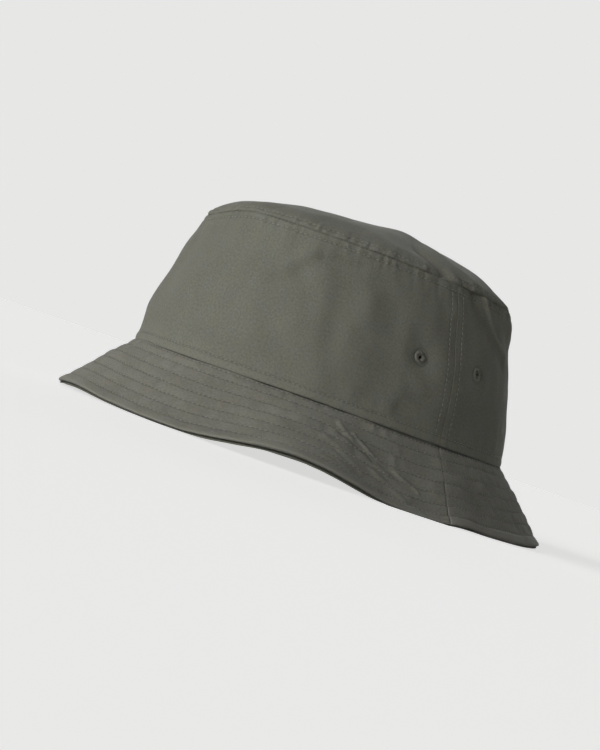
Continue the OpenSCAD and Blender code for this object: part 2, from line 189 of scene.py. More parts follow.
# The hem dips over the head seam, a little less at three places: azimuth, millimetres, half spread
HEM_DROP = 0.95
HEM_LIFTS = [(48, 0.35, 30), (-138, 0.25, 34), (140, 0.1, 30)]
# Millimetres to each degree of azimuth beside the side seams
SIDE_MM = 1.8
TWILL_OLIVE = "#79796e"
# Spacing of the twill's ribs as drawn, and how strongly the cloth's colour value changes it: paler where
# rubbing has worn it, darker where painted shade is given
RIB = 0.6
WEAR_AND_SHADE_GAIN = 0.5
half_x = HEAD_WID / 2
half_y = HEAD_LEN / 2
mm_per_deg = half_y * math.pi / 180
seam_turn = 0.03 / mm_per_deg


def turn_between(a, b):
    """The angle between two azimuths."""
    return np.abs((a - b + 900) % 360 - 180)


def bump(distance, half):
    """A smooth hill that ends at half."""
    return np.where(distance < half, (1 + np.cos(np.pi * np.minimum(distance, half) / half)) / 2, 0)


def bell(distance, width):
    """A soft peak that falls away on both sides."""
    return np.exp(-((distance / width) ** 2))


def swells(th, places):
    """The sum of hills round the hat, each an azimuth, a height and a half spread."""
    return sum(high * bump(turn_between(th, azimuth), half) for azimuth, high, half in places)


def outward(th):
    """The level direction out of the head's oval."""
    out = np.stack([half_y * np.sin(np.radians(th)), -half_x * np.cos(np.radians(th))], -1)
    return out / np.linalg.norm(out, axis=-1, keepdims=True)


def place(th, off, z, fwd=0):
    """A point beside the head's oval, z above its seam. Azimuth 0 is the front, 90 the wearer's left."""
    out = outward(th)
    x = half_x * np.sin(np.radians(th)) + off * out[..., 0]
    y = -half_y * np.cos(np.radians(th)) + off * out[..., 1] - fwd
    return np.stack(np.broadcast_arrays(x, y, SEAM_Z + z), -1)


def top_z(th):
    """The height of the tip seam above the head seam."""
    return CROWN_H - swells(th, TIP_SAG)


def bulge(th, z):
    """How far the worn crown swells, in millimetres."""
    return sum(rise * bump(turn_between(th, azimuth), wide) * bump(np.abs(z - height), tall)
               for azimuth, height, rise, wide, tall in CROWN_BULGES)


def lean(th, z):
    """The share of the crown's full inward lean."""
    return (np.maximum(z, 0) / top_z(th)) ** TAPER_POWER


def crown_at(th, z, rise=0.0):
    """A point of the plain crown, or one that rises off it."""
    off = CROWN_OFF + TWILL_T + rise - CROWN_TAPER * lean(th, z) + bulge(th, z)
    return place(th, off, z, TIP_SHIFT * lean(th, z))


ring_angles = np.arange(-360, 720.5, 0.5)
ring_points = place(ring_angles, 4.0, 0)
ring_steps = np.linalg.norm(np.diff(ring_points, axis=0), axis=1)
ring_lengths = np.concatenate([[0], np.cumsum(ring_steps)])


def round_the_head(th):
    """Millimetres along the head seam."""
    return np.interp(th, ring_angles, ring_lengths)


GIRTH = round_the_head(360) - round_the_head(0)


def grain(x, y, seed, wrap=0):
    """Smooth random heights from -1 to 1, a cell to each unit; wrap makes x a ring of that many cells."""
    xi, yi = np.floor(x).astype(np.int64), np.floor(y).astype(np.int64)
    fx, fy = x - xi, y - yi
    fx, fy = fx * fx * (3 - 2 * fx), fy * fy * (3 - 2 * fy)

    def corner(i, j):
        i = i % wrap if wrap else i
        n = (i * 73856093 ^ j * 19349663 ^ seed * 83492791) & 0x7FFFFFFF
        n = (n * 1103515245 + 12345) & 0x7FFFFFFF
        n = ((n >> 11) ^ n) * 668265263 & 0x7FFFFFFF
        return (n >> 8) % 4096 / 2047.5 - 1

    low = corner(xi, yi) * (1 - fx) + corner(xi + 1, yi) * fx
    high = corner(xi, yi + 1) * (1 - fx) + corner(xi + 1, yi + 1) * fx
    return low * (1 - fy) + high * fy


def ring_grain(th, y, cell, seed):
    """Random heights round the hat that close on themselves."""
    cells = max(3, int(round(GIRTH / cell)))
    along = (round_the_head(th % 360) - round_the_head(0)) / GIRTH * cells
    return grain(along, y, seed, cells)


def section(x, points):
    """A pressed cloth section through given points, with its corners softened."""
    xs, ys = zip(*points)
    return (np.interp(x - 0.3, xs, ys) + 2 * np.interp(x, xs, ys) + np.interp(x + 0.3, xs, ys)) / 4


def fold(x, y, points, width, height, fade=0.0):
    """A crease along a line of points: a ridge, or a valley if its height is negative. It may fade out."""
    total = np.zeros(np.broadcast(x, y).shape)
    for k, ((ax, ay), (bx, by)) in enumerate(zip(points, points[1:])):
        length = math.hypot(bx - ax, by - ay)
        t = np.clip(((x - ax) * (bx - ax) + (y - ay) * (by - ay)) / length**2, 0, 1)
        away = np.hypot(x - ax - t * (bx - ax), y - ay - t * (by - ay))
        left = 1 - fade * (k + t) / (len(points) - 1)
        total = np.maximum(total, left * np.exp(-((away / width) ** 2)))
    return height * total


def folds(th, y, lines, shrink=1.0):
    """The sum of several creases, each given by its points (azimuth, y), width, height and perhaps fade."""
    arc = round_the_head(th) * shrink
    return sum(fold(arc, y, [(round_the_head(a) * shrink, h) for a, h in line], *rest)
               for line, *rest in lines)


# The cloth across each seam: distance from the seam, rise
SIDE_SECTION = [(0, 0), (0.4, 0.03), (1.5, 0.06), (2.8, 0.08), (4.0, 0.06), (4.7, -0.2), (5.4, 0.05),
                (9, 0)]
HEM_SECTION = [(-1, 0.4), (0, 0.5), (0.8, 0.62), (2.2, 0.55), (3.0, 0.3), (3.5, 0.0), (4.1, 0.22),
               (7, 0.2), (13, 0)]
TIP_SECTION = [(0, -0.12), (0.25, 0.0), (1.1, 0.22), (2.4, 0.16), (3.2, -0.22), (4.0, 0.14), (9, 0)]
# How strongly each seam puckers the cloth: distances from the seam, strengths
FINE_PUCKER = ([0, 1.5, 3, 5, 13], [0.2, 0.42, 0.32, 0.22, 0])
LONG_PUCKER = ([0, 3, 9, 22], [0.12, 0.34, 0.36, 0])
HEM_PUCKER = ([0, 2, 4, 6, 13], [0.1, 0.14, 0.16, 0.15, 0])
SIDE_PUCKER = ([0, 2, 5, 12], [0.1, 0.24, 0.2, 0])
# Creases in the crown: points (azimuth, height), width, rise, and perhaps how much it fades
RIDGE_LINE = [(103.5, 77), (107.7, 67.5), (112.4, 60.8), (117, 57.5), (126, 54)]
CROWN_FOLDS = [
    (RIDGE_LINE, 1.6, 2.6, 0.9),
    ([(98, 76), (103, 66), (109, 56), (121, 50)], 4.5, -1.9, 0.3),
    ([(112, 78), (117, 69), (126, 62)], 4, -0.7),
    ([(131, 56), (145, 54)], 9, -0.6),
    ([(38, 34), (40, 56)], 11, 0.6),
    ([(66, 30), (67, 56)], 11, -1.3),
    ([(86, 10), (85, 52)], 8, 0.6),
    ([(102, 12), (102, 58)], 9, 0.9),
    ([(132, 69), (142, 68)], 7, 1.4),
    ([(39, 74), (44, 52), (45.6, 31.7), (47.9, 6)], 8, 0.8),
    ([(41, 65), (54, 66.5)], 3.2, -0.8),
    ([(22, 46), (36.7, 67.6)], 4, 0.55),
    ([(26, 42), (39, 60)], 6, -0.5),
    ([(75, 33), (66, 13)], 7, -0.8),
    ([(80, 22), (72, 34)], 4, 0.6),
    ([(84, 5), (74, 9)], 4, -0.6),
    ([(96, 34), (104, 22)], 5, -0.7),
    ([(-12, 30), (6, 58)], 9, 0.7),
    ([(10, 14), (30, 30)], 7, -0.6),
]
# Each eyelet's azimuth and height: about 20 mm from its side seam
EYELETS = {
    "eyelet_left_front": (78, 36.2),
    "eyelet_left_back": (101, 38.4),
    "eyelet_right_front": (281.2, 37.5),
    "eyelet_right_back": (258.8, 37.5),
}
EYELET_D = 7.0
EYELET_HOLE = 2.6
# The cloth inside this radius is cut away, under the thread
EYELET_CUT = 2.3
# Spacing of the painted needle-hole shadows along a seam, and half the width of the groove that a row of
# stitches pulls, which is also painted darker
HOLE_PITCH = 2.7
GROOVE_W = 0.35


def needle_hole_shadows(th):
    """Painted shadows between the stitches of a seam, strongest where the thread dives."""
    beat = 0.5 + 0.5 * np.sin(round_the_head(th) * 2 * np.pi / HOLE_PITCH)
    return 2.2 * beat * np.clip(0.7 + 0.7 * ring_grain(th, 0 * th, 16, 51), 0, 1)


def crown_rise(th, z):
    """The cloth's rise off the plain crown, in millimetres, and its colour value: paler on swells and the
    ridge, partly rubbing and partly painted highlight, and darker with painted shade in hollows, stitch
    grooves, needle holes and round the eyelets.
    """
    below_tip = top_z(th) - z
    to_side = np.minimum(turn_between(th, 90), turn_between(th, 270)) * SIDE_MM
    fine = section(z, HEM_SECTION) + section(below_tip, TIP_SECTION) + section(to_side, SIDE_SECTION)
    tip_pucker = ring_grain(th, below_tip / 14, 2.5, 11) * np.interp(below_tip, *FINE_PUCKER)
    tip_pucker = tip_pucker + ring_grain(th, below_tip / 22, 8, 12) * np.interp(below_tip, *LONG_PUCKER)
    hem_pucker = ring_grain(th, z / 9, 3.2, 13) * np.interp(z, *HEM_PUCKER)
    side_pucker = grain(z / 4.2, to_side / 9 + th // 180 * 9, 14) * np.interp(to_side, *SIDE_PUCKER)
    fine = fine + tip_pucker + hem_pucker + side_pucker
    calm = np.interp(z, [0, 5, 16], [0, 0.25, 1]) * np.interp(below_tip, [0, 3, 14], [0.1, 0.4, 1])
    front_right = bump(turn_between(th, -36), 36)
    fitted = 1 - 0.85 * front_right - 0.8 * bump(turn_between(th, 137), 30)
    broad = 0.85 * ring_grain(th, z / 31, 42, 21) + 0.6 * ring_grain(th, z / 17 + 5, 19, 22)
    broad = fitted * broad + 0.3 * ring_grain(th, z / 9 + 3, 8, 23)
    drawn = folds(th, z, CROWN_FOLDS)
    # Paler along the ridge, partly worn pale and partly a painted highlight; painted shadows in the tip
    # seam's needle holes
    rubbed_and_shaded = folds(th, z, [(RIDGE_LINE, 1.0, 3.0, 0.6)]) - needle_hole_shadows(th) * bell(below_tip, 0.3)
    # Painted shade in the grooves of the hem, tip and side rows
    for row in (np.abs(z - HEM_ROW), np.abs(below_tip - TIP_ROW), np.abs(to_side - SIDE_ROW)):
        rubbed_and_shaded = rubbed_and_shaded - 0.7 * bell(row, GROOVE_W)
    drawn = drawn + front_right * (1.5 * bump(np.abs(z - 43), 27) + 1.2 * bell(z, 4))
    for azimuth, height in EYELETS.values():
        away = np.hypot(turn_between(th, azimuth) * mm_per_deg, z - height)
        drawn = drawn - 0.9 * bell(away, 7) - 0.35 * np.exp(-((away / 4.3) ** 4))
        # Painted shadow in a ring round each eyelet
        rubbed_and_shaded = rubbed_and_shaded - 1.1 * bell(away - 4.1, 0.8)
    # The colour value follows the relief too: swells paler, partly rubbing and partly painted highlight,
    # and hollows darker with painted shade
    return fine + calm * broad + drawn, fine + 0.35 * broad * calm + rubbed_and_shaded


def crown_top(th, z):
    """A point on the finished crown's face."""
    return crown_at(th, z, crown_rise(th, z)[0])


def cloth(name, columns, rows, shape, ply, ring=False, holes=(), edges_only=False):
    """A cut piece of cloth: a fine grid that shape lays out, with its ply's thickness turned inwards."""
    bm = bmesh.new()
    bmesh.ops.create_grid(bm, x_segments=columns, y_segments=rows, size=0.5)
    at = np.array([v.co[:2] for v in bm.verts]) + 0.5
    # The third value is the cloth's colour value: paler where rubbing has worn it, darker with painted
    # shade in hollows, grooves and seam lines
    places, flat, worn = shape(at[:, 0], at[:, 1])
    wear_and_shade_layer = bm.verts.layers.float.new("wear_and_shade")
    cut_layer = bm.loops.layers.uv.new("cut")
    for vert, spot, high in zip(bm.verts, places * MM, worn):
        vert.co = spot
        vert[wear_and_shade_layer] = high
    for face in bm.faces:
        face.smooth = True
        for loop in face.loops:
            loop[cut_layer].uv = flat[loop.vert.index]
    if ring:
        bmesh.ops.remove_doubles(bm, verts=bm.verts, dist=1e-6)
    for hole in holes:
        cut_out = [face for face in bm.faces
                   if (face.calc_center_median() - Vector(hole) * MM).length < EYELET_CUT * MM]
        bmesh.ops.delete(bm, geom=cut_out, context="FACES")
    piece = piece_from(bm, name)
    if ply:
        thick = piece.modifiers.new("ply", "SOLIDIFY")
        thick.thickness = ply * MM
        thick.offset = -1
        thick.use_rim_only = edges_only
    return piece


def declare(piece, material, node, body="hat"):
    """A piece's material, the body it rides on, and the CAD node it stands for, whose part is hidden."""
    piece.data.materials.append(material)
    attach(piece, body)
    if node:
        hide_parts(node)


def crown_shape(middle):
    def shape(u, v):
        # Rows lie closest in the bottom 13 mm and the top 12 mm
        th = middle + (2 * u - 1) * (90 - seam_turn)
        top = top_z(th)
        climb = np.interp(v, [0, 0.04, 0.18, 0.26, 0.76, 1], [-1, 0, 5, 13, 100, 112])
        body = 13 + (climb - 13) / 87 * (top - 25)
        z = np.where(climb < 13, climb, np.where(climb < 100, body, top - 12 + (climb - 100)))
        rise, fine = crown_rise(th, np.maximum(z, 0))
        curl = np.maximum(-climb, 0)
        places = crown_at(th, np.maximum(z, 0), rise - 1.5 * curl)
        drop = HEM_DROP - swells(th, HEM_LIFTS)
        places[:, 2] += 1.4 * curl**2 - 0.25 * np.sin(np.pi * curl) - drop * np.clip(1 - climb / 4, 0, 1)
        # Painted shade: the hem's turned-under edge is darkened, for the head seam's dark line
        return places, np.stack([round_the_head(th), z], -1), fine - 3 * curl
    return shape


def sRGB(code):
    """A hex colour as the linear values that Blender mixes."""
    parts = [int(code[i:i + 2], 16) / 255 for i in (1, 3, 5)]
    return tuple(c / 12.92 if c <= 0.04045 else ((c + 0.055) / 1.055) ** 2.4 for c in parts) + (1,)


def shades(code, dark, light):
    """A colour made darker, and made lighter."""
    return [tuple(c * k for c in sRGB(code)[:3]) + (1,) for k in (dark, light)]


scaled_sum = {"operation": "MULTIPLY_ADD"}
clamped_sum = {"operation": "MULTIPLY_ADD", "use_clamp": True}
blended = {"data_type": "RGBA"}
multiplied = {"data_type": "RGBA", "blend_type": "MULTIPLY"}


def twill(name, code):
    """Cotton twill: matte, finely ribbed, mottled by garment dyeing, paler where rubbing has worn it, and
    darkened with painted shade in its seam lines, grooves and creases.
    """
    material, tree = bare_material(name)
    cut = add(tree, "ShaderNodeUVMap", {"uv_map": "cut"}).outputs[0]
    # Real ribs are about 0.4 mm apart, too fine to show, so these and the slubs are drawn coarser
    ribs = add(tree, "ShaderNodeMapping", {"vector_type": "POINT"}, Vector=cut,
               Rotation=(0, 0, math.radians(27)), Scale=(1 / RIB, 0.3 / RIB, 1))
    wave = add(tree, "ShaderNodeTexWave", {"wave_type": "BANDS", "bands_direction": "X"},
               Vector=ribs.outputs[0], Scale=math.pi / 10, Distortion=3.5, Detail=2.0, Detail_Scale=1.4)
    slub = add(tree, "ShaderNodeTexNoise", Vector=cut, Scale=0.85, Detail=4.0, Roughness=0.7)
    mottle = add(tree, "ShaderNodeTexNoise", Vector=cut, Scale=0.06, Detail=4.0, Roughness=0.6)
    dark, light = shades(code, 0.82, 1.18)
    shade = add(tree, "ShaderNodeMath", scaled_sum, i0=slub.outputs[0], i1=3.0, i2=-1.35)
    shade = add(tree, "ShaderNodeMath", scaled_sum, i0=mottle.outputs[0], i1=0.7, i2=shade.outputs[0])
    wear_and_shade = add(tree, "ShaderNodeAttribute", {"attribute_name": "wear_and_shade"})
    shade = add(tree, "ShaderNodeMath", clamped_sum,
                i0=wear_and_shade.outputs["Fac"], i1=WEAR_AND_SHADE_GAIN, i2=shade.outputs[0])
    even = add(tree, "ShaderNodeMix", blended, i0=shade.outputs[0], i6=dark, i7=light)
    faded = add(tree, "ShaderNodeTexNoise", Vector=cut, Scale=0.13, Detail=3.0, Roughness=0.6)
    tint = add(tree, "ShaderNodeMapRange", Value=faded.outputs[0], i1=0.4, i2=0.62)
    warm, cool = (1.01, 1.0, 0.975, 1), (0.99, 1.0, 1.03, 1)
    tone = add(tree, "ShaderNodeMix", blended, i0=tint.outputs[0], i6=warm, i7=cool)
    colour = add(tree, "ShaderNodeMix", multiplied, i0=1.0, i6=even.outputs[2], i7=tone.outputs[2])
    # Painted shade: the lowest values darken the cloth to as little as a quarter, in seam lines, grooves
    # and crease valleys
    painted_crevice_shade = add(tree, "ShaderNodeMapRange", Value=wear_and_shade.outputs["Fac"], i1=-2.8, i2=-0.8, i3=0.25, i4=1.0)
    colour = add(tree, "ShaderNodeMix", multiplied, i0=1.0, i6=colour.outputs[2], i7=painted_crevice_shade.outputs[0])
    height = add(tree, "ShaderNodeMath", scaled_sum, i0=slub.outputs[0], i1=1.6, i2=wave.outputs["Fac"])
    relief = add(tree, "ShaderNodeBump", Height=height.outputs[0], Strength=0.5, Distance=0.1 * MM)
    surface = add(tree, "ShaderNodeBsdfPrincipled", Base_Color=colour.outputs[2], Roughness=0.92,
                  Sheen_Weight=0.12, Sheen_Roughness=0.5, Normal=relief.outputs[0])
    surface.inputs["Specular IOR Level"].default_value = 0.25
    add(tree, "ShaderNodeOutputMaterial", Surface=surface.outputs[0])
    return material


twill_outside = twill("garment_dyed_cotton_twill", TWILL_OLIVE)
for name, middle in {"crown_front": 0, "crown_back": 180}.items():
    near = [(a, z) for a, z in EYELETS.values() if (a < 90 or a > 270) == (middle == 0)]
    holes = [crown_top(np.array([a]), np.array([z]))[0] for a, z in near]
    panel = cloth(name + "_panel", 600, 140, crown_shape(middle), TWILL_T, holes=holes, edges_only=True)
    declare(panel, twill_outside, name)


# --- Tip ----------------------------------------------------------------------------------------
# The oval top, eased into the crown over a tape: its edge is pressed down and topstitched.
# The sewing gathers the edge a little, so the cloth puckers along both rows.
TIP_DOME = 18
TIP_ROUND = 0.84
TIP_RISE = 1.3
# Half the tip's mean breadth, and its halves across and along
TIP_HALF = 78
TIP_HALF_X = 72
TIP_HALF_Y = 88
TIP_FINE_PUCKER = ([0, 1.5, 3, 5, 12], FINE_PUCKER[1])
# Creases in the tip: points (azimuth, distance inside the seam), width, rise, and perhaps fade
TIP_FOLDS = [
    ([(84, 4), (77.4, 20), (79, 31), (84, 43)], 5, -2.3, 0.8),
    ([(66, 34), (68, 12)], 6, 0.6),
    ([(101, 4), (92, 18), (91, 38)], 5, 1.2, 0.5),
    ([(10.8, 1), (16, 9)], 3, -0.8),
    ([(36, 12), (50, 14)], 5, -0.5),
]
# Soft dents and lifts of the tip, from above: x, y, spread, rise
TIP_DENTS = [
    (-30, -77, 12, 1.4), (5, -55, 19, -4), (10, -38, 14, -2.2),
    (28, -10, 11, 1.9), (50, -32, 12, -1.6), (50, 50, 13, -3.2),
]
tip_angles = np.linspace(0, 90, 361)
tip_ring = np.cos(np.radians(tip_angles)) ** TIP_ROUND
tip_rise = np.sin(np.radians(tip_angles)) ** TIP_RISE
tip_steps = np.hypot(np.diff(tip_ring) * TIP_HALF, np.diff(tip_rise) * TIP_DOME)
tip_lengths = np.concatenate([[0], np.cumsum(tip_steps)])


def tip_plain(th, psi):
    """A point of the plain dome; psi climbs from 0 at its seam to 90 at its middle."""
    edge = crown_at(th, top_z(th))
    ring = np.cos(np.radians(np.minimum(psi, 90))) ** TIP_ROUND
    rise = np.sin(np.radians(np.maximum(psi, 0))) ** TIP_RISE
    z = SEAM_Z + LAYER_GAP + CROWN_H * (1 - ring**2) + top_z(th) * ring**2 + TIP_DOME * rise
    return np.stack([edge[..., 0] * ring, -TIP_SHIFT * (1 - ring) + edge[..., 1] * ring, z], -1)


def tip_at(th, psi, deeper=0.0):
    """A point of the finished tip, and its colour value: paler on swells and darker in hollows, with
    painted shadows in the seam's needle holes and stitch groove.
    """
    inside = np.interp(psi, tip_angles, tip_lengths)
    around = tip_plain(th + 0.5, psi) - tip_plain(th - 0.5, psi)
    inwards = tip_plain(th, np.minimum(psi + 0.5, 89.9)) - tip_plain(th, np.clip(psi - 0.5, 0, 89))
    normal = np.cross(around, inwards)
    normal = normal / np.maximum(np.linalg.norm(normal, axis=-1, keepdims=True), 1e-9)
    fine = section(inside, TIP_SECTION)
    fine = fine + ring_grain(th, 9 - inside / 14, 2.5, 11) * np.interp(inside, *TIP_FINE_PUCKER)
    fine = fine + ring_grain(th, 7 - inside / 22, 8, 12) * np.interp(inside, *LONG_PUCKER)
    plain = tip_plain(th, psi)
    x, y = plain[..., 0], plain[..., 1]
    broad = 0.5 * grain(x / 26 + 9, y / 26 + 9, 31) + 0.35 * grain(x / 12 + 9, y / 12 + 9, 32)
    dents = 0
    for cx, cy, wide, high in TIP_DENTS:
        dents = dents + high * np.exp(-((x - cx) ** 2 + (y - cy) ** 2) / wide**2)
    broad = broad + dents
    calm = np.interp(inside, [0, 4, 16], [0, 0.3, 1])
    drawn = folds(th, inside, TIP_FOLDS, 0.82)
    rise = fine + calm * broad + drawn * np.interp(inside, [0, 40, 60], [1, 1, 0]) + deeper
    # Painted shadows in the seam's needle holes and in the groove of the upper row
    sunk = needle_hole_shadows(th) * bell(inside, 0.3) + 0.7 * bell(inside - TIP_ROW, GROOVE_W)
    return plain + rise[..., None] * normal, fine + 0.2 * calm * broad - sunk


def tip_shape(u, v):
    th = 360 * u
    psi = np.interp(v, [0, 0.3, 0.45, 1], [0, 20, 38, 90])
    places, fine = tip_at(th, psi)
    ring = np.cos(np.radians(psi)) ** TIP_ROUND
    flat = np.stack([ring * TIP_HALF_X * np.sin(np.radians(th)),
                     ring * TIP_HALF_Y * np.cos(np.radians(th))], -1)
    return places, flat, fine


tip = cloth("tip_top", 800, 100, tip_shape, TWILL_T, ring=True, edges_only=True)
declare(tip, twill_outside, "tip_panel")


# --- Brim ---------------------------------------------------------------------------------------
# Two plies of twill over a stiffener, bagged out at the edge and quilted by seven rows of stitches.
# Each ply is a front and a back piece, seamed at the sides; the cloth swells between the rows.
BRIM_LEN = 47
BRIM_SLOPE = 48.5
EDGE_BAND = 6.5
BRIM_FLARE = 1
# Where the worn brim lies flatter: azimuth, degrees, half spread
BRIM_WAVES = [(48, 12, 27), (-25, 4, 27), (90, 2.5, 12), (140, 5, 30), (-138, 8, 30), (-90, 2.5, 12)]
FIRST_ROW = 2.7
ALLOWANCE = 8
UPPER_OFF = 2.8
UPPER_HI = 0.95
BAND_HI = 1.25
# Thickness of a ply, where it starts to roll round the edge, and how far the under one swells
BRIM_PLY_T = 0.45
EDGE_ROLL = 1.4
UNDER_SWELL = 0.75
# Each ply's grid rows, and those of them that lie on its allowance, seam, stitches and edge
PLY_ROWS = 120
PLY_MARKS = [0, 14, 18, 28, 42, 56, 70, 84, 98, 110, 120]
# Half the gap of a side seam, in degrees, and millimetres to a degree beside it
SIDE_GAP = 0.1 / 1.9
BRIM_SIDE_MM = 2.1
row_places = [FIRST_ROW, 7.6, 14.5, 21.1, 27.8, 34.2, BRIM_LEN - EDGE_BAND]
# Drag creases in the upper ply and softer gathers: points (azimuth, along), width, rise
BRIM_FOLDS = [
    ([(57.2, 11), (59.3, 14.9), (60.7, 16.3)], 1.3, 0.7),
    ([(61.5, 13.5), (63.5, 16.5), (65.8, 19.6), (68.4, 21.9)], 1.0, 0.9),
    ([(62.6, 13.4), (64.7, 16.1), (67.8, 20.2)], 0.7, -0.4),
    ([(57.4, 16.9), (60.4, 18.6), (63, 21.2), (65.1, 22.5), (67.4, 25.8)], 0.9, -0.5),
    ([(67.2, 26), (70.4, 27.2)], 1.5, 0.9),
    ([(68.1, 23.3), (70.3, 26), (72.7, 26.4)], 0.8, -0.45),
    ([(73.2, 24.6), (75.6, 26.7), (77.8, 27.9), (79.3, 30.5)], 1.0, 0.8),
    ([(74.8, 24.2), (77.6, 26.4), (79.8, 30.4)], 0.7, -0.4),
    ([(78.9, 40.6), (80.2, 43.8)], 0.8, -0.35),
    ([(56.2, 30), (58.5, 33)], 0.9, -0.3),
    ([(53.8, 36.6), (56.4, 37.1)], 0.9, -0.3),
    ([(52, 23), (55.3, 24.8), (63, 35)], 1.6, 0.5),
    ([(66, 30), (75, 39)], 1.5, 0.6),
    ([(112, 6), (120, 30)], 3, 0.5),
    ([(-12, 8), (-2, 30)], 4, -0.1),
]
# The worn brim is a little longer or shorter in places, and droops at two of them:
# azimuth, millimetres, half spread
BRIM_STRETCH = [(80, 2.8, 17), (-9, -2.4, 26), (31, -0.8, 14)]
BRIM_DROOPS = [(-30, 1.9, 24), (139, 1.3, 24)]
# Down the brim its side seams swing towards the front
SEAM_SWING = 3.8 / 47


def slope(th):
    """The brim's angle below the horizontal."""
    return BRIM_SLOPE - swells(th, BRIM_WAVES)


def brim_at(th, along, level):
    """A point of the brim: along it from the head seam, and the level above the middle of the stiffener."""
    a = np.radians(slope(th))
    start = BRIM_LEN - 1.6 * EDGE_BAND
    over = level - UPPER_HI + BRIM_FLARE * np.maximum(0, (along - start) / (BRIM_LEN - start)) ** 2
    over = over - swells(th, BRIM_DROOPS) * np.maximum(0, along / BRIM_LEN - 0.35) ** 2 / 0.42
    over = over + 0.6 * bump(turn_between(th, -25), 45) * np.sin(np.pi * np.clip(along / 26, 0, 1))
    front_right = bump(turn_between(th, -30), 45)
    over = over + 1.3 * front_right * bell(along, 5) * np.interp(along, [0, 1], [0.5, 1])
    drift = 2 * bump(turn_between(th, 84), 42) * np.sin(np.pi * np.clip(along / BRIM_LEN, 0, 1))
    along = along * (1 + swells(th, BRIM_STRETCH) / BRIM_LEN) + drift
    off = UPPER_OFF + TWILL_T + along * np.cos(a) + over * np.sin(a)
    spot = place(th, off, -LAYER_GAP - along * np.sin(a) + over * np.cos(a))
    # Where it droops to the table it lies along it
    spot[..., 2] = spot[..., 2] / 2 + np.hypot(spot[..., 2] / 2, 0.6)
    return spot


def brim_rise(th, along, seed=0):
    """The swell of the cloth between two rows of stitches, and its small gathers; also its colour value,
    darkened with painted shade in its grooves, crease valleys and the hem's shadow line.
    """
    rows = np.array([0] + row_places + [BRIM_LEN])
    k = np.clip(np.searchsorted(rows, along, side="right") - 1, 0, len(rows) - 2)
    t = np.clip((along - rows[k]) / (rows[k + 1] - rows[k]), 0, 1)
    sunk = bell(np.abs(along[..., None] - row_places).min(-1), GROOVE_W)
    swell = np.sin(np.pi * t) ** 0.6
    last = k == len(rows) - 2
    swell = np.where(last, 1.7 * np.sin(np.pi * np.clip(t, 0, 0.5)) ** 0.6, swell)
    small = ring_grain(th, k * 7.0 + t * 0.8, 3.4, 41 + seed) * np.where(last, 0.14, 0.32)
    mid = ring_grain(th, along / 15 + k * 0.3, 9.5, 43 + seed) * 0.46
    swing = SEAM_SWING * np.maximum(along, 0)
    to_side = np.minimum(turn_between(th, 90 - swing), turn_between(th, 270 + swing)) * BRIM_SIDE_MM
    seam = section(to_side, [(0, -0.26), (0.3, -0.03), (0.9, 0.04), (3, 0.06), (6, 0)])
    drawn = folds(th, along, BRIM_FOLDS) if seed == 0 else 0
    broad = 0.4 * ring_grain(th, along / 24, 30, 44)
    fine = 0.26 * swell + (0.35 + 0.65 * np.minimum(swell, 1)) * (small + mid) + seam - 0.12 * sunk
    rise = fine + (0.4 + 0.6 * np.minimum(swell, 1)) * drawn + broad
    # A ply cannot sink into the stiffener
    rise = rise + np.log1p(np.exp(-(rise + 0.32) * 14)) / 14
    # The hem's painted shadow line on the brim is widest beside the left side seam
    gape = bump(turn_between(th, 98), 48)
    shadow = bell(along - 1.35 - 0.25 * gape, 0.5 + 0.4 * gape)
    # Painted shade in crease valleys, a slight painted highlight on crease ridges, and painted shade in the
    # side seam's and rows' grooves
    rubbed_and_shaded = fine + np.where(drawn < 0, 3.5, 0.3) * drawn
    return rise, rubbed_and_shaded - 1.2 * bell(to_side, GROOVE_W) - 1.2 * sunk - 3.6 * shadow


def brim_half(middle, u, along):
    """Azimuths across a front or back piece, whose side seams swing forwards down the brim."""
    swing = SEAM_SWING * np.maximum(along, 0) * (-1 if middle == 0 else 1)
    return middle + (2 * u - 1) * (90 - SIDE_GAP + swing)


def brim_shape(middle, under):
    sign = -1 if under else 1
    reach = 1.8 if under else 1.2
    inner = -0.6 if under else -0.42

    def shape(u, v):
        u = u if under else 1 - u
        marks = [-ALLOWANCE, 0] + row_places + [BRIM_LEN - EDGE_ROLL, BRIM_LEN + 1.6]
        along = np.interp(v * PLY_ROWS, PLY_MARKS, marks)
        stand = np.maximum(-along, 0)
        roll = np.clip((along - BRIM_LEN + EDGE_ROLL) / 3.0, 0, 1)
        on = np.clip(along, 0, BRIM_LEN - EDGE_ROLL)
        th = brim_half(middle, u, on)
        rise, fine = brim_rise(th, np.maximum(on, 0.01), 9 if under else 0)
        rise = rise * np.interp(along, [0, 2.4], [0, 1])
        # A paler band along the rolled edge, partly worn pale and partly a painted highlight, and painted
        # shade past the edge where the roll turns under
        fine = fine + 1.5 * bell(along - BRIM_LEN + 0.6, 1.3) - 3 * np.clip(along - BRIM_LEN - 0.5, 0, 1)
        swell = (UNDER_SWELL if under else 1) * rise
        level = np.interp(on - BRIM_LEN + EDGE_BAND, [0, 2], [UPPER_HI, BAND_HI]) + swell
        level = inner + (sign * level - inner) * np.cos(np.pi / 2 * roll)
        places = brim_at(th, on + reach * np.sin(np.pi * 0.8 * roll), level)
        foot = UPPER_OFF + (-TWILL_T - LAYER_GAP if under else TWILL_T)
        stood = place(th, foot - 0.1 * stand, stand - LAYER_GAP)
        places = np.where((along < 0)[:, None], stood, places)
        places[:, 2] = np.maximum(places[:, 2], 0.02)
        return places, np.stack([round_the_head(th), along], -1), fine
    return shape


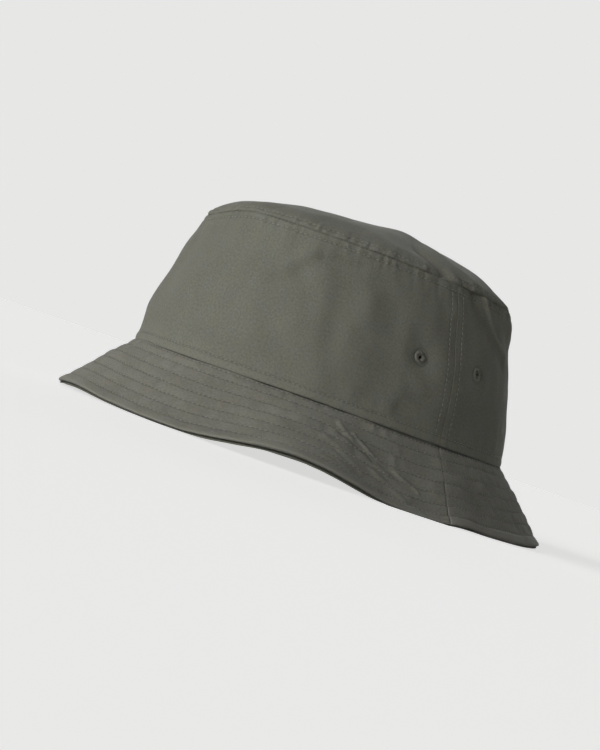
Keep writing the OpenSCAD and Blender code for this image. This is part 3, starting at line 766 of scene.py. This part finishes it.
# The brim's upper plies get a paler copy of the twill
twill_brim = twill("paler_cotton_twill", "#807f75")
twill_inside = twill("garment_dyed_cotton_twill_inside", "#6f6f62")
BRIM_PLIES = [
    ("brim_upper_front", 0, False), ("brim_upper_back", 180, False),
    ("brim_under_front", 0, True), ("brim_under_back", 180, True),
]
for name, middle, under in BRIM_PLIES:
    ply = cloth(name + "_ply", 700, PLY_ROWS, brim_shape(middle, under), BRIM_PLY_T, edges_only=True)
    declare(ply, twill_inside if under else twill_brim, name)


# --- Brim interlining ---------------------------------------------------------------------------
# The stiffener between the two plies: pale non-woven felt, cut a little short of the edge.
# It is seen only where a ply is lifted, and it carries the brim's seven rows of stitches.
def felt(name, code):
    """Non-woven felt: pale short fibres pressed flat, with an uneven fluffy surface."""
    material, tree = bare_material(name)
    spot = add(tree, "ShaderNodeTexCoord").outputs["Object"]
    # The fibres are 0.02 mm thick, too fine to show, and are drawn as 1 mm tufts
    fibres = add(tree, "ShaderNodeTexNoise", Vector=spot, Scale=900.0, Detail=4.0, Roughness=0.7,
                 Distortion=1.5)
    patches = add(tree, "ShaderNodeTexNoise", Vector=spot, Scale=90.0, Detail=2.0)
    amount = add(tree, "ShaderNodeMath", {"operation": "MULTIPLY"},
                 i0=fibres.outputs[0], i1=patches.outputs[0])
    dark, light = shades(code, 0.75, 1.15)
    colour = add(tree, "ShaderNodeMix", blended, i0=amount.outputs[0], i6=dark, i7=light)
    relief = add(tree, "ShaderNodeBump", Height=fibres.outputs[0], Strength=0.5, Distance=0.1 * MM)
    surface = add(tree, "ShaderNodeBsdfPrincipled", Base_Color=colour.outputs[2], Roughness=1.0,
                  Normal=relief.outputs[0])
    surface.inputs["Specular IOR Level"].default_value = 0.1
    add(tree, "ShaderNodeOutputMaterial", Surface=surface.outputs[0])
    return material


INTERLINING_T = 0.5
pressed_felt = felt("pressed_nonwoven_felt", "#cfccc2")


def interlining_shape(middle):
    def shape(u, v):
        along = v * (BRIM_LEN - EDGE_BAND - 0.6)
        th = brim_half(middle, 1 - u, along)
        places = brim_at(th, along, 0 * u + INTERLINING_T / 2)
        return places, np.stack([round_the_head(th), along], -1), 0 * u
    return shape


for name, middle in {"brim_interlining_front": 0, "brim_interlining_back": 180}.items():
    layer = cloth(name + "_felt", 180, 24, interlining_shape(middle), INTERLINING_T)
    declare(layer, pressed_felt, name)


# --- Sweatband ----------------------------------------------------------------------------------
# A bias strip of the same twill, folded at the top over a felt core and sewn in at the head seam.
# It lies against the head, so it is smooth apart from the slight ripple of its sewing.
BAND_T = 2.0
BAND_H = 32
BAND_CUT = 68
BAND_ROW = 4
BAND_PLY_T = 0.45
CORE_T = 0.6
# The cloth down from the band's top: distance, rise; and its puckers: distances, strengths
BAND_SECTION = [(0, -0.12), (1.2, 0.1), (2.8, 0.1), (3.6, -0.05), (4, -0.15), (4.4, -0.05), (5.2, 0.1),
                (9, 0)]
BAND_PUCKER = ([0, 3, 5, 12, 24, 30], [0.1, 0.12, 0.14, 0.03, 0.03, 0.14])


def inside_at(th, off, z, push=0.0):
    """A point inside the crown, off millimetres out from the head."""
    off = off + push - CROWN_TAPER * lean(th, z) + np.minimum(0, bulge(th, z))
    return place(th, off, z, TIP_SHIFT * lean(th, z))


def band_ripple(th, z):
    """The slight swell that the sewing gives the strip's inner face."""
    swell = section(BAND_H - z, BAND_SECTION)
    swell = swell + 0.25 * ring_grain(th, z / 22, 26, 51) * np.interp(z, [0, 6], [0.2, 1])
    return swell + ring_grain(th, z / 9, 4.2, 52) * np.interp(BAND_H - z, *BAND_PUCKER)


def band_shape(u, v):
    th = 360 * u
    z = np.interp(v, [0, 0.44, 0.5, 0.56, 1], [-TWILL_T, BAND_H - 0.7, BAND_H, BAND_H - 0.7, -TWILL_T])
    turn = np.interp(v, [0.44, 0.56], [0, np.pi])
    round_top = BAND_T / 2 + BAND_T / 2 * np.cos(turn)
    off = np.where((v > 0.44) & (v < 0.56), round_top, np.where(v < 0.5, BAND_T, 0))
    # The ripple is also the colour value: painted light and shade following its swells and hollows
    ripple = band_ripple(th, z) * np.where(v > 0.5, 1, 0)
    return inside_at(th, off, z, -ripple), np.stack([round_the_head(th), v * BAND_CUT], -1), ripple


sweatband = cloth("sweatband_strip", 480, 90, band_shape, BAND_PLY_T, ring=True)
declare(sweatband, twill_inside, "sweatband_cover")


def core_shape(u, v):
    th = 360 * u
    z = v * (BAND_H - 1.2)
    return inside_at(th, 0 * u + BAND_T / 2 + CORE_T / 2, z), np.stack([round_the_head(th), z], -1), 0 * u


core = cloth("sweatband_core_felt", 240, 16, core_shape, CORE_T, ring=True)
declare(core, pressed_felt, "sweatband_core")


# --- Seam tapes ---------------------------------------------------------------------------------
# Strips of the twill over the seam allowances inside the crown: one round the tip, one down each side.
# Each lies flat against the wrong side of the panels and is caught by the two rows of topstitching.
TAPE_W = 12.8
TAPE_T = 0.4
SIDE_TAPE_W = 15
# How far the face of the tip's tape lies inside the face of the panels
TIP_TAPE_IN = TWILL_T + 0.15 + TAPE_T


def tip_tape_shape(u, v):
    th = 360 * u
    down = np.clip((0.5 - v) * TAPE_W, 0, TAPE_W)
    inward = np.clip((v - 0.5) * TAPE_W, 0, TAPE_W)
    z = top_z(th) - down
    rise = crown_rise(th, z)[0]
    on_crown = crown_at(th, z, rise - TIP_TAPE_IN)
    psi = np.interp(inward, tip_lengths, tip_angles)
    on_tip = tip_at(th, psi, -TIP_TAPE_IN)[0]
    # Where a crease crosses the seam the tape bridges from one panel to the other
    seam_crown = crown_at(th, top_z(th), crown_rise(th, top_z(th))[0] - TIP_TAPE_IN)
    seam_tip = tip_at(th, 0 * th, -TIP_TAPE_IN)[0]
    step = (seam_tip - seam_crown) * np.exp(-np.abs(v - 0.5) * TAPE_W / 3)[:, None] / 2
    places = np.where((v < 0.5)[:, None], on_crown + step, on_tip - step)
    edge = 0.3 * (np.abs(v - 0.5) * 2) ** 6
    return places, np.stack([round_the_head(th), v * TAPE_W], -1), edge


# The tape's right side faces the head, so its faces are turned before it gets its thickness
tip_tape = cloth("tip_tape", 520, 15, tip_tape_shape, 0, ring=True)
bm = bmesh.new()
bm.from_mesh(tip_tape.data)
bmesh.ops.reverse_faces(bm, faces=bm.faces)
bm.to_mesh(tip_tape.data)
bm.free()
thick = tip_tape.modifiers.new("ply", "SOLIDIFY")
thick.thickness = TAPE_T * MM
thick.offset = -1
declare(tip_tape, twill_inside, "tip_seam_tape")


def side_tape_shape(side):
    def shape(u, v):
        th = side - (2 * u - 1) * SIDE_TAPE_W / 2 / mm_per_deg
        z = ALLOWANCE + 1 + v * (top_z(th) - TAPE_W / 2 - 1 - ALLOWANCE)
        rise = crown_rise(th, z)[0]
        places = crown_at(th, z, rise - TWILL_T - 0.3 - TAPE_T)
        return places, np.stack([u * SIDE_TAPE_W, z], -1), 0.3 * np.abs(2 * u - 1) ** 6
    return shape


for name, side in {"side_seam_tape_left": 90, "side_seam_tape_right": 270}.items():
    strip = cloth(name + "_strip", 16, 60, side_tape_shape(side), TAPE_T)
    declare(strip, twill_inside, name)


# --- Topstitching -------------------------------------------------------------------------------
# Spun polyester thread in lockstitch, about ten stitches to the inch, in the cloth's own colour.
# Each stitch lies on the cloth and dips into it at both ends, where it pulls a small dimple; painted shade
# darkens the thread's ends and the cloth along the row.
THREAD_D = 0.42
STITCH = 2.5
THREAD_OLIVE = "#8c8c80"


def spun_thread(name, code):
    """Spun thread: a soft two-ply twist with a little lustre, its ends darkened with painted shade where it
    goes into the cloth.
    """
    material, tree = bare_material(name)
    spot = add(tree, "ShaderNodeTexCoord").outputs["Object"]
    hairs = add(tree, "ShaderNodeTexNoise", Vector=spot, Scale=2600.0, Detail=2.0)
    faded = add(tree, "ShaderNodeTexNoise", Vector=spot, Scale=330.0, Detail=1.0)
    amount = add(tree, "ShaderNodeMath", scaled_sum, i0=hairs.outputs[0], i1=0.5, i2=faded.outputs[0])
    # Painted shade: each stitch darkens towards its ends
    dip_shade = add(tree, "ShaderNodeAttribute", {"attribute_name": "dip_shade"})
    amount = add(tree, "ShaderNodeMath", clamped_sum,
                 i0=dip_shade.outputs["Fac"], i1=-1.1, i2=amount.outputs[0])
    dark, light = shades(code, 0.3, 1.3)
    colour = add(tree, "ShaderNodeMix", blended, i0=amount.outputs[0], i6=dark, i7=light)
    relief = add(tree, "ShaderNodeBump", Height=hairs.outputs[0], Strength=0.6, Distance=0.08 * MM)
    surface = add(tree, "ShaderNodeBsdfPrincipled", Base_Color=colour.outputs[2], Roughness=0.7,
                  Sheen_Weight=0.2, Normal=relief.outputs[0])
    add(tree, "ShaderNodeOutputMaterial", Surface=surface.outputs[0])
    return material


sewing_thread = spun_thread("spun_polyester_thread", THREAD_OLIVE)
# One bead of few faces, copied for each stitch
bead_mesh = bpy.data.meshes.new("thread_bead")
bm = bmesh.new()
bmesh.ops.create_uvsphere(bm, u_segments=6, v_segments=4, radius=1)
for face in bm.faces:
    face.smooth = True
bm.to_mesh(bead_mesh)
bm.free()
bead_points = np.array([list(v.co) + [1] for v in bead_mesh.vertices])


def lay_stitches(bm, a, b, out, thread):
    """A stitch from each point of a to the same one of b: a slim bead of thread, proud along out."""
    along = b - a
    across = np.cross(out, along)
    across = across / np.linalg.norm(across, axis=-1, keepdims=True)
    out = np.cross(along, across)
    out = out / np.linalg.norm(out, axis=-1, keepdims=True)
    columns = np.stack([across * thread / 2, out * thread / 2, along / 2, (a + b) / 2], -1) * MM
    dip_shade = bm.verts.layers.float.get("dip_shade") or bm.verts.layers.float.new("dip_shade")
    first = len(bm.verts)
    for _ in a:
        bm.from_mesh(bead_mesh)
    bm.verts.ensure_lookup_table()
    # Painted shade: a bead is darker towards its ends, where the thread goes into the cloth
    dip_shades = np.tile(bead_points[:, 2] ** 4, len(a))
    spots = (columns @ bead_points.T).transpose(0, 2, 1).reshape(-1, 3)
    for vert, spot, end_shade in zip(bm.verts[first:], spots, dip_shades):
        vert.co = spot
        vert[dip_shade] = end_shade


def sew(name, node, rows, pitch=STITCH, proud=0.12):
    """Rows of stitches; each row is a line of points with the direction out of the cloth at each."""
    bm = bmesh.new()
    for line, out in rows:
        run = np.concatenate([[0], np.cumsum(np.linalg.norm(np.diff(line, axis=0), axis=1))])
        count = int(round(run[-1] / pitch))
        step = run[-1] / count
        middle = (np.arange(count) + 0.5) * step
        half = step * (0.45 + 0.03 * np.sin(np.arange(count) * 2.399))

        def at(distance, values):
            return np.stack([np.interp(distance, run, values[:, k]) for k in range(3)], -1)

        lift = at(middle, out) * proud
        starts, ends = at(middle - half, line) + lift, at(middle + half, line) + lift
        lay_stitches(bm, starts, ends, at(middle, out), THREAD_D)
    declare(piece_from(bm, name), sewing_thread, node)


def out_of(surface, a, b, flip=1):
    """The direction out of a surface, from how its point moves with each of its two values."""
    across = surface(a + 0.2, b) - surface(a - 0.2, b)
    climb = surface(a, b + 0.2) - surface(a, b - 0.2)
    out = np.cross(across, climb) * flip
    return out / np.linalg.norm(out, axis=-1, keepdims=True)


whole = np.linspace(0, 360, 1441)
hem_row = 0 * whole + HEM_ROW
sew("head_seam_row", "head_seam_stitch", [(crown_top(whole, hem_row), out_of(crown_at, whole, hem_row))])
low_row = top_z(whole) - TIP_ROW
sew("tip_row_lower", "tip_stitch_lower", [(crown_top(whole, low_row), out_of(crown_at, whole, low_row))])
row_psi = 0 * whole + np.interp(TIP_ROW, tip_lengths, tip_angles)
sew("tip_row_upper", "tip_stitch_upper", [(tip_at(whole, row_psi)[0], out_of(tip_plain, whole, row_psi))])
for name, side in {"left": 90, "right": 270}.items():
    rows = []
    for way in (-1, 1):
        th = np.full(200, side + way * SIDE_ROW / SIDE_MM)
        z = np.linspace(HEM_ROW + 0.8, top_z(th)[0] - TIP_ROW - 0.8, 200)
        rows.append((crown_top(th, z), out_of(crown_at, th, z)))
    sew("side_rows_" + name, "side_stitch_" + name, rows)


def brim_top(th, along):
    """A point on the upper ply's face."""
    return brim_at(th, along, UPPER_HI + brim_rise(th, along)[0])


def brim_bottom(th, along):
    """A point on the under ply's face."""
    return brim_at(th, along, -UPPER_HI - UNDER_SWELL * brim_rise(th, along, 9)[0])


for k, row in enumerate(row_places):
    down = 0 * whole + row
    outs = out_of(lambda a, s: brim_at(a, s, 0 * a), whole, down, -1)
    both_sides = [(brim_top(whole, down), outs), (brim_bottom(whole, down), -outs)]
    sew("brim_row_%d" % k, "brim_stitch_%d" % k, both_sides, proud=0.22)
band_row = 0 * whole + BAND_H - BAND_ROW
band_line = inside_at(whole, 0 * whole, band_row, -band_ripple(whole, band_row))
sew("sweatband_row", "sweatband_stitch", [(band_line, -outward(whole) @ np.eye(2, 3))])


# --- Eyelets ------------------------------------------------------------------------------------
# Four sewn vent holes, each cut through the crown and bound with buttonhole thread.
# Close radial stitches are wrapped over a laid-in ring of cord, so the rim stands up unevenly.
WRAP_D = 0.56
eyelet_thread = spun_thread("eyelet_buttonhole_thread", "#68675c")


def sewn_eyelet(name, azimuth, height):
    a = np.array([azimuth])
    z = np.array([height])
    middle = crown_top(a, z)[0]
    out = out_of(crown_at, a, z)[0]
    along = np.array([-out[1], out[0], 0])
    along = along / np.linalg.norm(along)
    climb = np.cross(out, along)
    bm = bmesh.new()
    hole, rim = EYELET_HOLE / 2, EYELET_D / 2
    bead = (rim - hole) / 2 * 0.86
    cord_at = middle + along * (hole + rim) / 2 + out * 0.15
    loop = Matrix([*np.stack([out, along, np.cross(out, along), cord_at], -1).tolist(), [0, 0, 0, 1]])
    ring = bmesh.ops.create_circle(bm, segments=10, radius=bead, matrix=loop)
    bmesh.ops.scale(bm, vec=(0.4, 1, 1), space=loop.inverted(), verts=ring["verts"])
    bmesh.ops.spin(bm, geom=bm.verts[:] + bm.edges[:], cent=Vector(middle), axis=Vector(out),
                   angle=2 * math.pi, steps=44, use_merge=True)
    bmesh.ops.recalc_face_normals(bm, faces=bm.faces)
    bmesh.ops.scale(bm, vec=(MM, MM, MM), verts=bm.verts)
    for face in bm.faces:
        face.smooth = True
    k = np.arange(24)
    t = (2 * math.pi * k / 24 + 0.07 * np.sin(k * 5.1))[:, None]
    ray = along * np.cos(t) + climb * np.sin(t)
    reach = rim + (0.3 * np.sin(3 * t + 0.4) + 0.14 * np.sin(k[:, None] * 2.4))
    high = out * (1.05 + 0.45 * np.cos(t - 0.4) + 0.35 * np.sin(2 * t + 1) * np.sin(5 * t + 2)
                  + 0.2 * np.sin(k[:, None] * 3.7))
    outs = out + 0 * ray
    lay_stitches(bm, middle + ray * (hole - 0.6) - out * 0.3, middle + ray * 0.6 * rim + high, outs, WRAP_D)
    lay_stitches(bm, middle + ray * 0.5 * rim + high, middle + ray * reach - out * 0.1, outs, WRAP_D)
    return piece_from(bm, name)


for name, (azimuth, height) in EYELETS.items():
    declare(sewn_eyelet(name + "_wraps", azimuth, height), eyelet_thread, name)


# --- Labels -------------------------------------------------------------------------------------
# A folded satin care label hangs in the back of the crown, and a woven tab is sewn to the sweatband.
# Both are blank.
CARE_W = 25
CARE_LEN = 34
# The middle of its sewn edge, from the head's middle and the table
CARE_PIN = (0, 81.83, 105.49)
CARE_T = 0.12
SIZE_W = 32
SIZE_H = 16
SIZE_T = 0.2
# Millimetres to each degree of azimuth at the back
BACK_MM = 1.48


def satin(name, code):
    """Satin-woven polyester tape: close ribs across, a soft sheen, and slightly yellowed white."""
    material, tree = bare_material(name)
    cut = add(tree, "ShaderNodeUVMap", {"uv_map": "cut"}).outputs[0]
    # Real satin ribs are about 0.2 mm apart; these are drawn a millimetre or so apart to show
    ribs = add(tree, "ShaderNodeTexWave", {"wave_type": "BANDS", "bands_direction": "Y"},
               Vector=cut, Scale=0.7, Distortion=0.6, Detail=1.0)
    stain = add(tree, "ShaderNodeTexNoise", Vector=cut, Scale=0.15, Detail=3.0)
    amount = add(tree, "ShaderNodeMath", scaled_sum, i0=ribs.outputs["Fac"], i1=0.3, i2=stain.outputs[0])
    dark, light = shades(code, 0.86, 1.08)
    colour = add(tree, "ShaderNodeMix", blended, i0=amount.outputs[0], i6=dark, i7=light)
    relief = add(tree, "ShaderNodeBump", Height=ribs.outputs["Fac"], Strength=0.4, Distance=0.06 * MM)
    surface = add(tree, "ShaderNodeBsdfPrincipled", Base_Color=colour.outputs[2], Roughness=0.5,
                  Sheen_Weight=0.3, Normal=relief.outputs[0])
    add(tree, "ShaderNodeOutputMaterial", Surface=surface.outputs[0])
    return material


label_satin = satin("woven_satin_label", "#e2dfd5")


def care_shape(u, v):
    x = (0.5 - u) * CARE_W
    down = 1 - np.abs(v - 0.5) * 2
    y = np.where(v < 0.5, -1, 1) * 0.17 * np.sqrt(np.clip(1 - down**16, 0, 1))
    drop = down * CARE_LEN
    curl = -0.55 * np.sin(np.pi * drop / CARE_LEN * 0.9) - 0.35 * (x / CARE_W * 2) ** 2 * drop / CARE_LEN
    places = np.stack([x, CARE_PIN[1] + y + curl, CARE_PIN[2] - drop], -1)
    return places, np.stack([x, v * 2 * CARE_LEN], -1), 0 * u


care = cloth("care_label_tape", 24, 90, care_shape, CARE_T)
declare(care, label_satin, "care_label", body="care_label")


def size_shape(u, v):
    th = 180 - (u - 0.5) * SIZE_W / (half_x * math.pi / 180)
    z = BAND_H / 2 + (v - 0.5) * SIZE_H
    bow = 0.12 * np.sin(np.pi * u) * (0.7 + 0.3 * np.sin(5 * v + 9 * u))
    stand = 0.2 + 0.25 + bow + band_ripple(th, z)
    return inside_at(th, 0 * u, z, -stand), np.stack([u * SIZE_W, v * SIZE_H], -1), 0 * u


tab = cloth("size_label_tab", 64, 32, size_shape, SIZE_T)
declare(tab, label_satin, "size_label")
tab_rows = []
for u in (0.045, 0.955):
    v = np.linspace(0.06, 0.94, 30)
    line = size_shape(0 * v + u, v)[0]
    tab_rows.append((line, -outward(180 - (0 * v + u - 0.5) * SIZE_W / BACK_MM) @ np.eye(2, 3)))
sew("size_label_rows", None, tab_rows, pitch=2.2)
